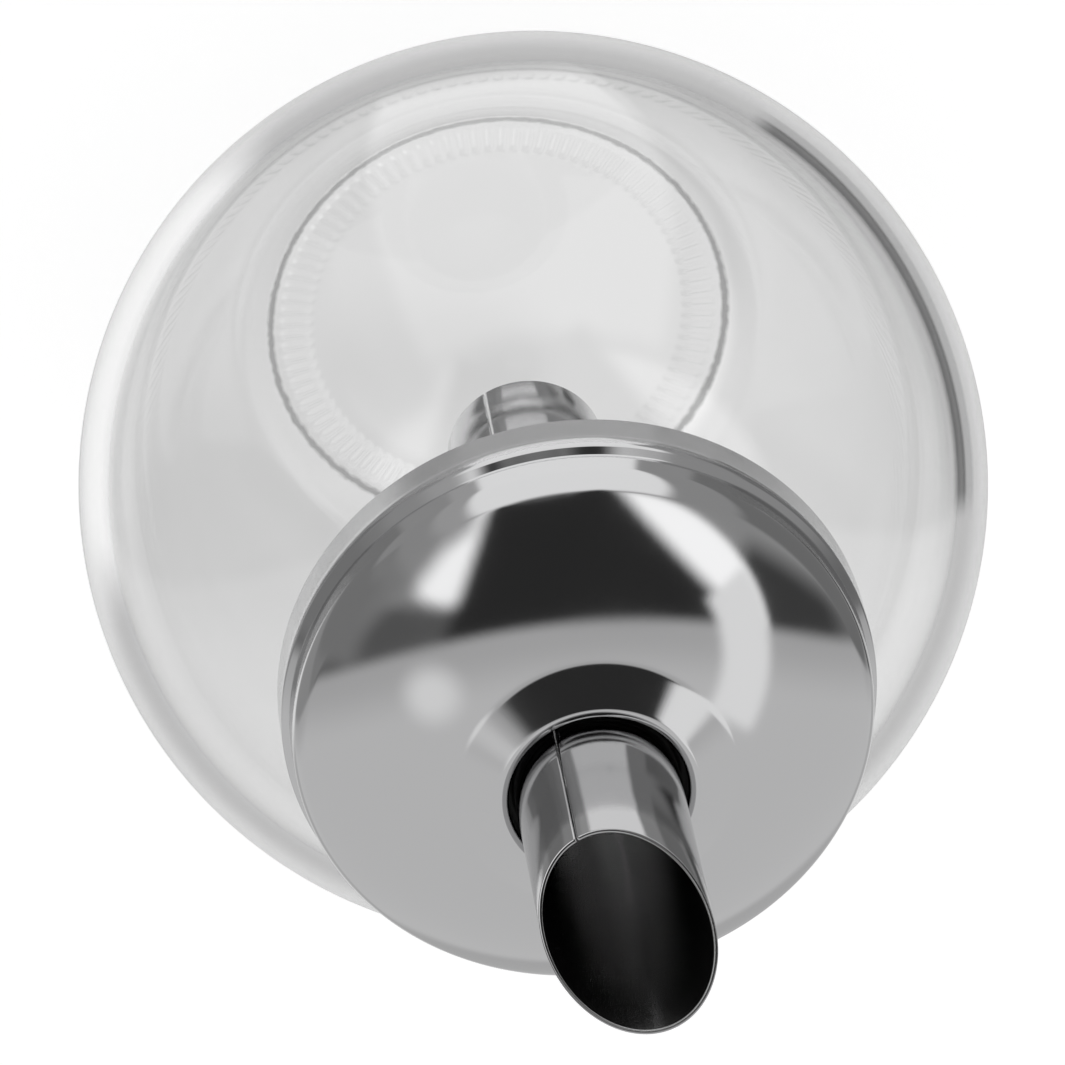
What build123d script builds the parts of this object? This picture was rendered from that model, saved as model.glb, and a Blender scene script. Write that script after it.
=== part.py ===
from build123d import *

import os
from math import cos, radians, sin, sqrt, tan

# Sugar dispenser: a ball-shaped glass jar with a screw neck, a polished steel cap drawn up
# into a collar, and a long rolled steel tube through the collar, cut off at a slant for
# pouring. Millimetres, +Z up, origin at the middle of the base plane. The slanted mouth
# opens towards -Y.

# Glass jar
ball_radius = 46.0
foot_radius = 25.0
side_wall = 3.0
floor_thickness = 4.6
floor_corner_round = 7.0
heel_round = 2.5
neck_radius = 26.4
neck_wall = 3.0
neck_length = 8.5
shoulder_round = 1.2
neck_inside_round = 4.0
rim_edge_round = 0.6
push_up_inset = 5.4
push_up_rise = 1.4

# Ring of short grooves pressed into the bearing ring of the base
groove_count = 96
groove_margin = 0.8
groove_length = 3.3
groove_width = 0.75
groove_depth = 0.25

# Steel cap
sheet = 0.5
skirt_gap = 0.65
band_inset = 0.75
band_height = 2.4
ledge_slope = 45.0
rim_lift = 0.2
rim_round = 4.0
rim_slope = 46.0
saddle_slope = 19.5
flare_round = 3.5
flare_slope = 32.0
cone_run = 4.3
lip_round = 0.6
hem_length = 2.0
ledge_edge_round = 0.5
ledge_corner_round = 0.3

# Pour tube
tube_radius = 8.0
tube_wall = 0.4
tube_floor_gap = 26.4
mouth_rise = 23.2
mouth_slope = 37.0
seam_gap = 0.2
collar_gap = 0.6

# Screw insert inside the cap
insert_fit = 0.05
thread_clearance = 0.1
insert_wall = 1.95
insert_lift = 0.6
nest_turn = 40.0
web_edge_inset = 2.3
web_thickness = 1.5
boss_wall = 1.5
rib_count = 6
rib_thickness = 1.2
rib_foot_height = 0.6

# Seal on the glass rim
seal_thickness = 1.3
seal_inset = 0.2
seal_outer_clearance = 0.2

# Rubber sleeve that grips the tube
sleeve_wall = 1.4
sleeve_fit = 0.02
sleeve_flange_width = 2.6
sleeve_flange_thickness = 1.5
sleeve_rise = 1.4
sleeve_hem_gap = 0.6

os.makedirs("parts", exist_ok=True)


def on_ball(radius, ball):
    """Height above the ball's middle at which a ball reaches the given radius."""
    return sqrt(ball**2 - radius**2)


# The jar's heights
inner_ball = ball_radius - side_wall
ball_height = on_ball(foot_radius, ball_radius)
shoulder = ball_height + on_ball(neck_radius, ball_radius)
glass_rim = shoulder + neck_length
neck_bore_radius = neck_radius - neck_wall
inner_shoulder = ball_height + on_ball(neck_bore_radius, inner_ball)
floor_edge = on_ball(ball_height - floor_thickness, inner_ball)
push_up_radius = foot_radius - push_up_inset
push_up_bow = (push_up_radius**2 + push_up_rise**2) / (2 * push_up_rise)
groove_middle = push_up_radius + groove_margin + groove_length / 2

# The cap's radii, from the thread outward, and its heights, from the glass rim
insert_bore = neck_radius + thread_clearance
insert_radius = insert_bore + insert_wall
lining = sheet + insert_fit
skirt_radius = insert_radius + lining
band_radius = skirt_radius - band_inset
rim_bottom = glass_rim + rim_lift
band_bottom = rim_bottom - band_height
skirt_top = band_bottom - band_inset * tan(radians(ledge_slope))
skirt_bottom = shoulder + skirt_gap
ledge_drop = tan(radians((90 - ledge_slope) / 2))

# The crown's arc joins the rounded rim to the flare and the cone above it, so that the lip
# lands on the collar bore
collar_bore = tube_radius + collar_gap
rim_in = rim_round * (1 - sin(radians(rim_slope)))
flare_in = flare_round * (sin(radians(flare_slope)) - sin(radians(saddle_slope)))
cone_in = cone_run * cos(radians(flare_slope))
lip_in = lip_round * (1 + sin(radians(flare_slope)))
crown_span = band_radius - rim_in - flare_in - cone_in - lip_in - collar_bore
crown_radius = crown_span / (sin(radians(rim_slope)) - sin(radians(saddle_slope)))
rim_rise = rim_round * cos(radians(rim_slope))
crown_rise = crown_radius * (cos(radians(saddle_slope)) - cos(radians(rim_slope)))
flare_rise = flare_round * (cos(radians(saddle_slope)) - cos(radians(flare_slope)))
cone_rise = cone_run * sin(radians(flare_slope))
cone_top = rim_bottom + rim_rise + crown_rise + flare_rise + cone_rise
collar_top = cone_top + lip_round * (1 - cos(radians(flare_slope)))
hem_bottom = collar_top - lip_round - hem_length

# The insert, the sleeve and the tube
web_bottom = glass_rim + seal_thickness
web_top = web_bottom + web_thickness
web_middle = (web_bottom + web_top) / 2
flange_bottom = web_bottom - sleeve_flange_thickness
sleeve_radius = tube_radius + sleeve_wall
sleeve_top = hem_bottom - sleeve_hem_gap
boss_top = sleeve_top - sleeve_rise
boss_radius = sleeve_radius + boss_wall
boss_middle_radius = sleeve_radius + boss_wall / 2
tube_lower_end = floor_thickness + tube_floor_gap
mouth_middle_height = collar_top + mouth_rise
tube_tip = mouth_middle_height + tube_radius * tan(radians(mouth_slope))

# Glass jar: blown wall, thick pressed base, straight neck
with BuildPart() as glass_jar:
    with BuildSketch(Plane.XZ) as jar_profile:
        with BuildLine():
            push_up = RadiusArc((0, push_up_rise), (push_up_radius, 0), push_up_bow)
            Line(push_up @ 1, (foot_radius, 0))
            ThreePointArc(
                (foot_radius, 0),
                (ball_radius, ball_height),
                (neck_radius, shoulder),
            )
            Polyline(
                (neck_radius, shoulder),
                (neck_radius, glass_rim),
                (neck_bore_radius, glass_rim),
                (neck_bore_radius, inner_shoulder),
            )
            ThreePointArc(
                (neck_bore_radius, inner_shoulder),
                (inner_ball, ball_height),
                (floor_edge, floor_thickness),
            )
            Polyline(
                (floor_edge, floor_thickness),
                (0, floor_thickness),
                (0, push_up_rise),
            )
        make_face()
        corners = jar_profile.vertices()
        fillet(corners.sort_by_distance((foot_radius, 0))[0], heel_round)
        fillet(corners.sort_by_distance((neck_radius, shoulder))[0], shoulder_round)
        fillet(corners.sort_by_distance((neck_radius, glass_rim))[0], rim_edge_round)
        fillet(corners.sort_by_distance((neck_bore_radius, glass_rim))[0], rim_edge_round)
        fillet(corners.sort_by_distance((neck_bore_radius, inner_shoulder))[0], neck_inside_round)
        fillet(corners.sort_by_distance((floor_edge, floor_thickness))[0], floor_corner_round)
    revolve(axis=Axis.Z)
    # The grooves leave flat lands between them, so the jar stands on one level ring
    with BuildSketch(Plane.XY):
        with PolarLocations(groove_middle, groove_count):
            Rectangle(groove_length, groove_width)
    extrude(amount=groove_depth, mode=Mode.SUBTRACT)

glass_jar.part.label = "glass_jar"
export_step(glass_jar.part, "parts/glass_jar.step")


def cap_wall_line(inset):
    """Draw the cap's wall line, from the skirt's edge over the crown to the end of the hem.

    An inset of 0 gives the polished outside, and one sheet thickness gives the inside. The
    ledge's corners drop with the inset, so the sheet is as thick there as elsewhere.
    """
    skirt = Polyline(
        (skirt_radius - inset, skirt_bottom),
        (skirt_radius - inset, skirt_top - inset * ledge_drop),
        (band_radius - inset, band_bottom - inset * ledge_drop),
        (band_radius - inset, rim_bottom),
    )
    rim = JernArc(skirt @ 1, (0, 1), rim_round - inset, 90 - rim_slope)
    crown = JernArc(rim @ 1, rim % 1, crown_radius - inset, rim_slope - saddle_slope)
    flare = JernArc(crown @ 1, crown % 1, flare_round + inset, saddle_slope - flare_slope)
    cone = Line(flare @ 1, (flare @ 1) + (flare % 1) * cone_run)
    lip = JernArc(cone @ 1, cone % 1, lip_round - inset, 90 + flare_slope)
    hem = Line(lip @ 1, (lip @ 1) - Vector(0, hem_length))
    return skirt @ 0, hem @ 1


# Cap shell: deep-drawn sheet whose collar is turned in on itself round the tube
with BuildPart() as cap_shell:
    with BuildSketch(Plane.XZ) as shell_profile:
        with BuildLine():
            outer_start, outer_end = cap_wall_line(0)
            inner_start, inner_end = cap_wall_line(sheet)
            Line(outer_start, inner_start)
            Line(outer_end, inner_end)
        make_face()
        bends = shell_profile.vertices()
        fillet(bends.sort_by_distance((skirt_radius, skirt_top))[0], ledge_edge_round)
        fillet(bends.sort_by_distance((band_radius, band_bottom))[0], ledge_corner_round)
    revolve(axis=Axis.Z)

cap_shell.part.label = "cap_shell"
export_step(cap_shell.part, "parts/cap_shell.step")

# Screw insert: moulded ring that lines the skirt and screws onto the neck, with a web under
# the crown and a boss that holds the sleeve
insert_bottom = skirt_bottom + insert_lift
web_edge_radius = band_radius - web_edge_inset
rib_reach = band_radius - rim_round
with BuildPart() as cap_insert:
    with BuildSketch(Plane.XZ) as insert_profile:
        with BuildLine():
            wall = Polyline(
                (insert_bore, insert_bottom),
                (insert_radius, insert_bottom),
                (insert_radius, skirt_top - lining * ledge_drop),
                (band_radius - lining, band_bottom - lining * ledge_drop),
                (band_radius - lining, rim_bottom),
            )
            nest = JernArc(wall @ 1, (0, 1), rim_round - lining, nest_turn)
            Polyline(
                nest @ 1,
                (web_edge_radius, web_top),
                (boss_radius, web_top),
                (boss_radius, boss_top),
                (sleeve_radius + sleeve_fit, boss_top),
                (sleeve_radius + sleeve_fit, web_bottom),
                (insert_bore, web_bottom),
                (insert_bore, insert_bottom),
            )
        make_face()
    revolve(axis=Axis.Z)
    # Gusset ribs between the web and the boss
    with BuildSketch(Plane.XZ) as rib_profile:
        with BuildLine():
            Polyline(
                (boss_middle_radius, web_middle),
                (rib_reach, web_middle),
                (rib_reach, web_top + rib_foot_height),
                (boss_radius, boss_top - boss_wall),
                (boss_middle_radius, boss_top - boss_wall),
                close=True,
            )
        make_face()
    gusset = extrude(amount=rib_thickness / 2, both=True, mode=Mode.PRIVATE)
    with PolarLocations(0, rib_count):
        add(gusset)

cap_insert.part.label = "cap_insert"
export_step(cap_insert.part, "parts/cap_insert.step")

# Seal: flat ring between the glass rim and the insert's web
with BuildPart() as jar_seal:
    with BuildSketch(Plane.XY.offset(glass_rim)):
        Circle(insert_bore - seal_outer_clearance)
        Circle(neck_bore_radius + seal_inset, mode=Mode.SUBTRACT)
    extrude(amount=seal_thickness)

jar_seal.part.label = "jar_seal"
export_step(jar_seal.part, "parts/jar_seal.step")

# Sleeve: rubber bush pushed up into the boss, its flange against the web
with BuildPart() as tube_sleeve:
    with BuildSketch(Plane.XY.offset(flange_bottom)):
        Circle(sleeve_radius + sleeve_flange_width)
    extrude(amount=sleeve_flange_thickness)
    with BuildSketch(Plane.XY.offset(web_bottom)):
        Circle(sleeve_radius)
    extrude(amount=sleeve_top - web_bottom)
    with BuildSketch(Plane.XY.offset(flange_bottom)):
        Circle(tube_radius + sleeve_fit)
    extrude(amount=sleeve_top - flange_bottom, mode=Mode.SUBTRACT)

tube_sleeve.part.label = "tube_sleeve"
export_step(tube_sleeve.part, "parts/tube_sleeve.step")

# Pour tube: sheet rolled round until its edges almost meet, then cut off at a slant
mouth_normal = Vector(0, -sin(radians(mouth_slope)), cos(radians(mouth_slope)))
mouth_plane = Plane(origin=(0, 0, mouth_middle_height), z_dir=mouth_normal)
with BuildPart() as pour_tube:
    with BuildSketch(Plane.XY.offset(tube_lower_end)):
        Circle(tube_radius)
        Circle(tube_radius - tube_wall, mode=Mode.SUBTRACT)
        with Locations((0, -tube_radius)):
            Rectangle(seam_gap, tube_radius, mode=Mode.SUBTRACT)
    extrude(amount=tube_tip - tube_lower_end)
    split(bisect_by=mouth_plane, keep=Keep.BOTTOM)

pour_tube.part.label = "pour_tube"
export_step(pour_tube.part, "parts/pour_tube.step")
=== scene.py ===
"""Ball-shaped sugar dispenser: clear glass jar, polished steel screw cap, slant-cut pour tube."""

import logging
from dataclasses import dataclass, field
from enum import Enum
from functools import reduce
from math import acos, atan2, cos, degrees, pi, radians, sin, sqrt, tan
from typing import Any, Callable, Sequence

import bmesh
import bpy
from mathutils import Matrix, Vector

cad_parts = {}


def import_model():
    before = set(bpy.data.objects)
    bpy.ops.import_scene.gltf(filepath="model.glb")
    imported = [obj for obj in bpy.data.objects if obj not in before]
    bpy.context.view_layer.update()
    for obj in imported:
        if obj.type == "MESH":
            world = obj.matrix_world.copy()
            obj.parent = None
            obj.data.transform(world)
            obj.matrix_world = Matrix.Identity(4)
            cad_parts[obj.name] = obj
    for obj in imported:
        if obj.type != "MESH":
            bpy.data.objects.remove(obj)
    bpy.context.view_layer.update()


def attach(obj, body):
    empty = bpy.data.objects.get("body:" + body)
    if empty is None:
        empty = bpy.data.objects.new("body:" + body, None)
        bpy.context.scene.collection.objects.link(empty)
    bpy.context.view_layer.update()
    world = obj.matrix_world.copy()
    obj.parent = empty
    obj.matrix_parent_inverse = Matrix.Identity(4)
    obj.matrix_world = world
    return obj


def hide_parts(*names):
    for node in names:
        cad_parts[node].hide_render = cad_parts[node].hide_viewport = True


LOG = logging.getLogger("sugar_dispenser")
MM = 0.001
PHOTO_AZIMUTH = -21.6
BALL_HEIGHT = 38.6
WHITE = (1.0, 1.0, 1.0, 1.0)
RISING = (0.0, 1.0)
FALLING = (1.0, 0.0)
FLOAT = "NodeSocketFloat"
VECTOR = "NodeSocketVector"
GEOMETRY = "NodeSocketGeometry"
MATERIAL = "NodeSocketMaterial"

Point = tuple[float, float]
Colour = tuple[float, float, float]
Piece = bpy.types.Object
Material = bpy.types.Material
Socket = bpy.types.NodeSocket
Tree = bpy.types.NodeTree


class Body(Enum):
    """The rigid bodies that pieces ride on."""

    JAR = "jar"
    SEAL = "seal"
    CAP = "cap"


class Slot(Enum):
    """The record's material slots."""

    GLASS = "glass"
    STEEL = "steel"
    PLASTIC = "insert_plastic"
    RUBBER = "rubber"


# Node trees


class Nodes:
    """Adds nodes to one tree and joins them by socket."""

    def __init__(self, tree: Tree) -> None:
        """Keep the tree to fill."""
        self.tree = tree

    def add(
        self, kind: str, inputs: dict[Any, Any] | None = None, **settings: Any
    ) -> bpy.types.Node:
        """Add one node.

        Args:
            kind: The node's type name.
            inputs: A value or an output socket for each input, by name or number.
            **settings: Attributes of the node, such as operation.

        Returns:
            The new node.
        """
        node = self.tree.nodes.new(kind)
        for key, value in settings.items():
            setattr(node, key, value)
        for key, value in (inputs or {}).items():
            socket = node.inputs[key]
            if isinstance(value, Socket):
                self.tree.links.new(value, socket)
            else:
                socket.default_value = value
        return node

    def math(self, operation: str, *terms: Any) -> Socket:
        """Add a Math node on numbers or sockets, and give its result."""
        inputs = dict(enumerate(terms))
        return self.add("ShaderNodeMath", inputs, operation=operation).outputs[0]

    def product(self, *terms: Any) -> Socket:
        """Multiply numbers or sockets, from the first to the last."""
        return reduce(lambda first, second: self.math("MULTIPLY", first, second), terms)

    def vector(self, operation: str, *terms: Any) -> Any:
        """Add a Vector Math node on vectors or sockets, and give its outputs."""
        inputs = dict(enumerate(terms))
        return self.add("ShaderNodeVectorMath", inputs, operation=operation).outputs

    def scaled(self, vector: Socket, factor: Any) -> Socket:
        """Scale a vector by a factor."""
        inputs = {0: vector, "Scale": factor}
        return self.add("ShaderNodeVectorMath", inputs, operation="SCALE").outputs[0]

    def axial(self, place: Socket) -> tuple[Any, Socket, Socket]:
        """Measure a place from the Z axis.

        Args:
            place: The place.

        Returns:
            Its X, Y and Z by name, its flat part, and its distance from the axis.
        """
        parts = self.add("ShaderNodeSeparateXYZ", {0: place}).outputs
        flat = self.add("ShaderNodeCombineXYZ", {"X": parts["X"], "Y": parts["Y"]}).outputs[0]
        return parts, flat, self.vector("LENGTH", flat)["Value"]

    def ramp(self, value: Any, low: Any, high: Any, out: Point = RISING) -> Socket:
        """Add a smooth step.

        Args:
            value: The number to map.
            low: Where the step starts.
            high: Where the step ends.
            out: The results at low and at high.

        Returns:
            The mapped number.
        """
        node = self.add(
            "ShaderNodeMapRange",
            {"Value": value, "From Min": low, "From Max": high, "To Min": out[0], "To Max": out[1]},
            interpolation_type="SMOOTHSTEP",
        )
        return node.outputs["Result"]

    def soft_limit(self, value: Socket, limit: Socket, blur: Socket, out: Point) -> Socket:
        """Add a smooth step that reaches as far as the blur to each side of a limit."""
        low, high = self.math("SUBTRACT", limit, blur), self.math("ADD", limit, blur)
        return self.ramp(value, low, high, out)

    def mix(self, factor: Any, first: Any, second: Any, kind: str = "FLOAT") -> Socket:
        """Mix numbers, or colours where the kind is RGBA. The factor is the second's share."""
        inputs = {"Factor": factor, "A": first, "B": second}
        return self.add("ShaderNodeMix", inputs, data_type=kind).outputs["Result"]

    def noise(self, place: Socket, scale: Any, detail: float, roughness: float = 0.5) -> Socket:
        """Add a noise texture that is read at a place, and give its value from 0 to 1."""
        inputs = {"Vector": place, "Scale": scale, "Detail": detail, "Roughness": roughness}
        return self.add("ShaderNodeTexNoise", inputs).outputs[0]

    def handled(self, scale: float, roughness: float, amount: float) -> Socket:
        """Roughen a surface with traces of wiping and handling.

        Args:
            scale: Scale of the traces.
            roughness: The clean surface's roughness.
            amount: Roughness that the traces add.

        Returns:
            The roughness.
        """
        inputs = {"Scale": scale, "Roughness": roughness, "Amount": amount}
        tree = shared("handling_marks", handling_group)
        return self.add("ShaderNodeGroup", inputs, node_tree=tree).outputs[0]

    def bumped(self, height: Socket, strength: float, distance: float) -> Socket:
        """Turn a height into a normal, by a bump whose distance is in metres."""
        inputs = {"Height": height, "Strength": strength, "Distance": distance}
        return self.add("ShaderNodeBump", inputs).outputs[0]


def shared(name: str, build: Callable[[str], Tree]) -> Tree:
    """Get a node group by its name, and build it at its first use."""
    return bpy.data.node_groups.get(name) or build(name)


def new_group(name: str, kind: str, takes: dict[str, Any], gives: dict[str, str]) -> Nodes:
    """Make a node group with named sockets.

    Args:
        name: The group's name.
        kind: The tree's type, for shaders or for geometry.
        takes: For each input, its default number, or its socket type if it takes no number.
        gives: For each output, its socket type.

    Returns:
        The helper for the group's tree.
    """
    tree = bpy.data.node_groups.new(name, kind)
    for title, given in takes.items():
        typed = isinstance(given, str)
        socket = tree.interface.new_socket(
            name=title, in_out="INPUT", socket_type=given if typed else FLOAT
        )
        if not typed:
            socket.default_value = given
    for title, socket_type in gives.items():
        tree.interface.new_socket(name=title, in_out="OUTPUT", socket_type=socket_type)
    return Nodes(tree)


def handling_group(name: str) -> Tree:
    """Build the shader group for traces of wiping and handling.

    Args:
        name: The group's name.

    Returns:
        A group that takes Scale, Roughness and Amount, and gives Roughness.
    """
    smear_scale, smear_low, smear_high = 55.0, 0.42, 0.72
    grain_scale, grain_middle, grain_share = 900.0, 0.5, 0.5
    takes = {"Scale": 1.0, "Roughness": 0.1, "Amount": 0.05}
    nodes = new_group(name, "ShaderNodeTree", takes, {"Roughness": FLOAT})
    given = nodes.add("NodeGroupInput").outputs
    place = nodes.add("ShaderNodeTexCoord").outputs["Object"]
    broad = nodes.noise(place, nodes.product(given["Scale"], smear_scale), 4.0, 0.55)
    fine = nodes.noise(place, nodes.product(given["Scale"], grain_scale), 2.0, 0.6)
    smear = nodes.ramp(broad, smear_low, smear_high)
    grain = nodes.math("SUBTRACT", fine, grain_middle)
    spread = nodes.math("MULTIPLY_ADD", grain, grain_share, smear)
    rough = nodes.math("MULTIPLY_ADD", spread, given["Amount"], given["Roughness"])
    nodes.add("NodeGroupOutput", {"Roughness": rough})
    return nodes.tree


def polish_group(name: str) -> Tree:
    """Build the shader group for the fine lines that polishing or rolling leaves.

    Args:
        name: The group's name.

    Returns:
        A group that takes Lines and Along, and gives Height. Along is 0 for lines round the
        axis and 1 for lines along it.
    """
    line_scale, depth = 2600.0, 0.5
    turn_least, turn_gain, down_loss = 0.02, 3.0, -0.97
    nodes = new_group(name, "ShaderNodeTree", {"Lines": 1.0, "Along": 0.0}, {"Height": FLOAT})
    given = nodes.add("NodeGroupInput").outputs
    parts, _, radius = nodes.axial(nodes.add("ShaderNodeTexCoord").outputs["Object"])
    angle = nodes.math("ARCTAN2", parts["Y"], parts["X"])
    turn_scale = nodes.math("MULTIPLY_ADD", given["Along"], turn_gain, turn_least)
    down_scale = nodes.math("MULTIPLY_ADD", given["Along"], down_loss, 1.0)
    across = nodes.product(angle, turn_scale)
    down = nodes.product(nodes.math("ADD", radius, parts["Z"]), down_scale)
    spread = nodes.add("ShaderNodeCombineXYZ", {"X": across, "Y": down}).outputs[0]
    lines = nodes.noise(spread, nodes.product(given["Lines"], line_scale), 3.0, 0.65)
    nodes.add("NodeGroupOutput", {"Height": nodes.product(lines, depth)})
    return nodes.tree


# Finishes


def new_material(name: str) -> tuple[Material, Nodes]:
    """Make a material with an empty tree.

    Args:
        name: The material's name.

    Returns:
        The material and the helper for its tree.
    """
    material = bpy.data.materials.new(name)
    material.use_nodes = True
    material.node_tree.nodes.clear()
    return material, Nodes(material.node_tree)


@dataclass(frozen=True)
class GlassFinish:
    """Clear pressed glass, with a dark ring of painted shade round the foot where the heel's edge
    looks dark.
    """

    name: str = "clear_glass"
    colour: Colour = (0.99, 0.99, 0.99)
    refraction: float = 1.52
    roughness: float = 0.0
    marks: float = 0.004
    mark_scale: float = 0.6
    ripple: float = 0.02
    ripple_scale: float = 26.0
    ripple_depth: float = 0.002
    # These sizes place a dark ring of painted shade in the glass colour, round the foot at the
    # heel's edge.
    heel_shade_radius: float = 0.0249
    heel_shade_width: float = 0.0007
    heel_shade_top: float = 0.003
    heel_shade_level: float = 0.22
    heel_shade_core: float = 0.2
    heel_shade_fade: float = 0.8
    heel_shade_wander: float = 0.8
    heel_shade_grain: float = 900.0

    def seam(self, nodes: Nodes, place: Socket) -> Socket:
        """Paint a dark ring of shade into the glass colour round the foot, where the heel's edge
        looks dark.

        Args:
            nodes: The material's tree.
            place: The object position.

        Returns:
            How strong the painted shade is, from 0 to 1.
        """
        parts, _, reach = nodes.axial(place)
        ragged = nodes.noise(place, self.heel_shade_grain, 2.0)
        wander = self.heel_shade_width * self.heel_shade_wander
        shift = nodes.math("MULTIPLY_ADD", ragged, wander, -wander / 2)
        off = nodes.math("SUBTRACT", reach, self.heel_shade_radius)
        off = nodes.math("ABSOLUTE", nodes.math("ADD", off, shift))
        # The ring of painted shade, softened at its edges.
        line = nodes.ramp(off, self.heel_shade_width * self.heel_shade_core, self.heel_shade_width, FALLING)
        low = nodes.ramp(parts["Z"], self.heel_shade_top * self.heel_shade_fade, self.heel_shade_top, FALLING)
        return nodes.product(line, low)

    def material(self) -> Material:
        """Build the glass, which lets light through to what it stands on.

        Returns:
            The material.
        """
        material, nodes = new_material(self.name)
        clear_colour = (*self.colour, 1.0)
        # The dark colour of the painted shade ring at the heel.
        heel_shade_colour = (*[self.heel_shade_level] * 3, 1.0)
        place = nodes.add("ShaderNodeTexCoord").outputs["Object"]
        wave = nodes.noise(place, self.ripple_scale, 1.0)
        glass = nodes.add(
            "ShaderNodeBsdfPrincipled",
            {
                # The base colour carries the painted shade ring at the heel's edge.
                "Base Color": nodes.mix(self.seam(nodes, place), clear_colour, heel_shade_colour, "RGBA"),
                "Roughness": nodes.handled(self.mark_scale, self.roughness, self.marks),
                "IOR": self.refraction,
                "Transmission Weight": 1.0,
                "Metallic": 0.0,
                "Normal": nodes.bumped(wave, self.ripple, self.ripple_depth),
            },
        )
        clear = nodes.add("ShaderNodeBsdfTransparent", {"Color": clear_colour})
        path = nodes.add("ShaderNodeLightPath").outputs
        lit = nodes.math("MAXIMUM", path["Is Shadow Ray"], path["Is Diffuse Ray"])
        mixed = nodes.add("ShaderNodeMixShader", {0: lit, 1: glass.outputs[0], 2: clear.outputs[0]})
        nodes.add("ShaderNodeOutputMaterial", {"Surface": mixed.outputs[0]})
        return material


@dataclass(frozen=True)
class SteelFinish:
    """Polished stainless sheet, with faint lines from polishing or rolling."""

    name: str
    colour: Colour = (0.62, 0.62, 0.625)
    roughness: float = 0.08
    marks: float = 0.03
    mark_scale: float = 1.0
    lines: float = 0.25
    along: float = 0.0
    bump: float = 0.02
    bump_depth: float = 0.0002

    def material(self) -> Material:
        """Build the steel.

        Returns:
            The material.
        """
        material, nodes = new_material(self.name)
        polish = nodes.add(
            "ShaderNodeGroup",
            {"Lines": self.lines, "Along": self.along},
            node_tree=shared("polish_lines", polish_group),
        )
        steel = nodes.add(
            "ShaderNodeBsdfPrincipled",
            {
                "Base Color": (*self.colour, 1.0),
                "Metallic": 1.0,
                "Roughness": nodes.handled(self.mark_scale, self.roughness, self.marks),
                "Normal": nodes.bumped(polish.outputs["Height"], self.bump, self.bump_depth),
            },
        )
        nodes.add("ShaderNodeOutputMaterial", {"Surface": steel.outputs[0]})
        return material


@dataclass(frozen=True)
class MouldedFinish:
    """Moulded plastic or rubber with a fine grain."""

    name: str
    colour: Colour
    roughness: float = 0.45
    marks: float = 0.12
    mark_scale: float = 1.4
    grain: float = 0.15
    grain_scale: float = 2200.0
    grain_depth: float = 0.0002
    shade_range: Point = (0.85, 1.2)

    def material(self) -> Material:
        """Build the moulded material.

        Returns:
            The material.
        """
        material, nodes = new_material(self.name)
        place = nodes.add("ShaderNodeTexCoord").outputs["Object"]
        grain = nodes.noise(place, self.grain_scale, 3.0)
        dark, light = ((*[c * f for c in self.colour], 1.0) for f in self.shade_range)
        moulded = nodes.add(
            "ShaderNodeBsdfPrincipled",
            {
                "Base Color": nodes.mix(grain, dark, light, "RGBA"),
                "Roughness": nodes.handled(self.mark_scale, self.roughness, self.marks),
                "Normal": nodes.bumped(grain, self.grain, self.grain_depth),
            },
        )
        nodes.add("ShaderNodeOutputMaterial", {"Surface": moulded.outputs[0]})
        return material


# Mesh making


def arc(centre: Point, radius: float, start: float, end: float, steps: int) -> list[Point]:
    """Points along an arc of the profile plane.

    Args:
        centre: The arc's centre, as radius and height.
        radius: Its radius.
        start: First angle in radians, from the outward direction.
        end: Last angle in radians.
        steps: Number of parts the arc is divided into.

    Returns:
        The points, both ends included.
    """
    turn = (end - start) / steps
    return [
        (centre[0] + radius * cos(start + i * turn), centre[1] + radius * sin(start + i * turn))
        for i in range(steps + 1)
    ]


def straight(start: Point, end: Point, steps: int) -> list[Point]:
    """Points along a straight run of the profile.

    Args:
        start: First point.
        end: Last point.
        steps: Number of parts the run is divided into.

    Returns:
        The points, both ends included.
    """
    return [
        (start[0] + (end[0] - start[0]) * i / steps, start[1] + (end[1] - start[1]) * i / steps)
        for i in range(steps + 1)
    ]


def joined(*runs: Sequence[Point]) -> list[Point]:
    """Join runs of points and drop the points that repeat.

    Args:
        *runs: Runs of points, in order.

    Returns:
        One run.
    """
    points: list[Point] = []
    for run in runs:
        for x, y in run:
            if not points or abs(x - points[-1][0]) + abs(y - points[-1][1]) > 1e-6:
                points.append((x, y))
    return points


class Pen:
    """Draws a profile by straight runs and tangent arcs, as a metal spinner would lay it out."""

    def __init__(self, start: Point, heading: float) -> None:
        """Put the pen down at a point, heading some degrees up from outward."""
        self.points = [start]
        self.heading = heading

    def turn(self, radius: float, angle: float, steps: int) -> "Pen":
        """Draw an arc that starts in the pen's direction.

        Args:
            radius: The arc's radius.
            angle: Its angle in degrees, positive to the left.
            steps: Number of parts.

        Returns:
            The pen itself.
        """
        side = 1.0 if angle > 0 else -1.0
        x, y = self.points[-1]
        normal = radians(self.heading + 90 * side)
        centre = (x + radius * cos(normal), y + radius * sin(normal))
        first = normal + pi
        self.points += arc(centre, radius, first, first + radians(angle), steps)[1:]
        self.heading += angle
        return self

    def go(self, length: float, steps: int) -> "Pen":
        """Draw a straight run in the pen's direction.

        Args:
            length: The run's length.
            steps: Number of parts.

        Returns:
            The pen itself.
        """
        x, y = self.points[-1]
        way = radians(self.heading)
        end = (x + length * cos(way), y + length * sin(way))
        self.points += straight((x, y), end, steps)[1:]
        return self


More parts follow.
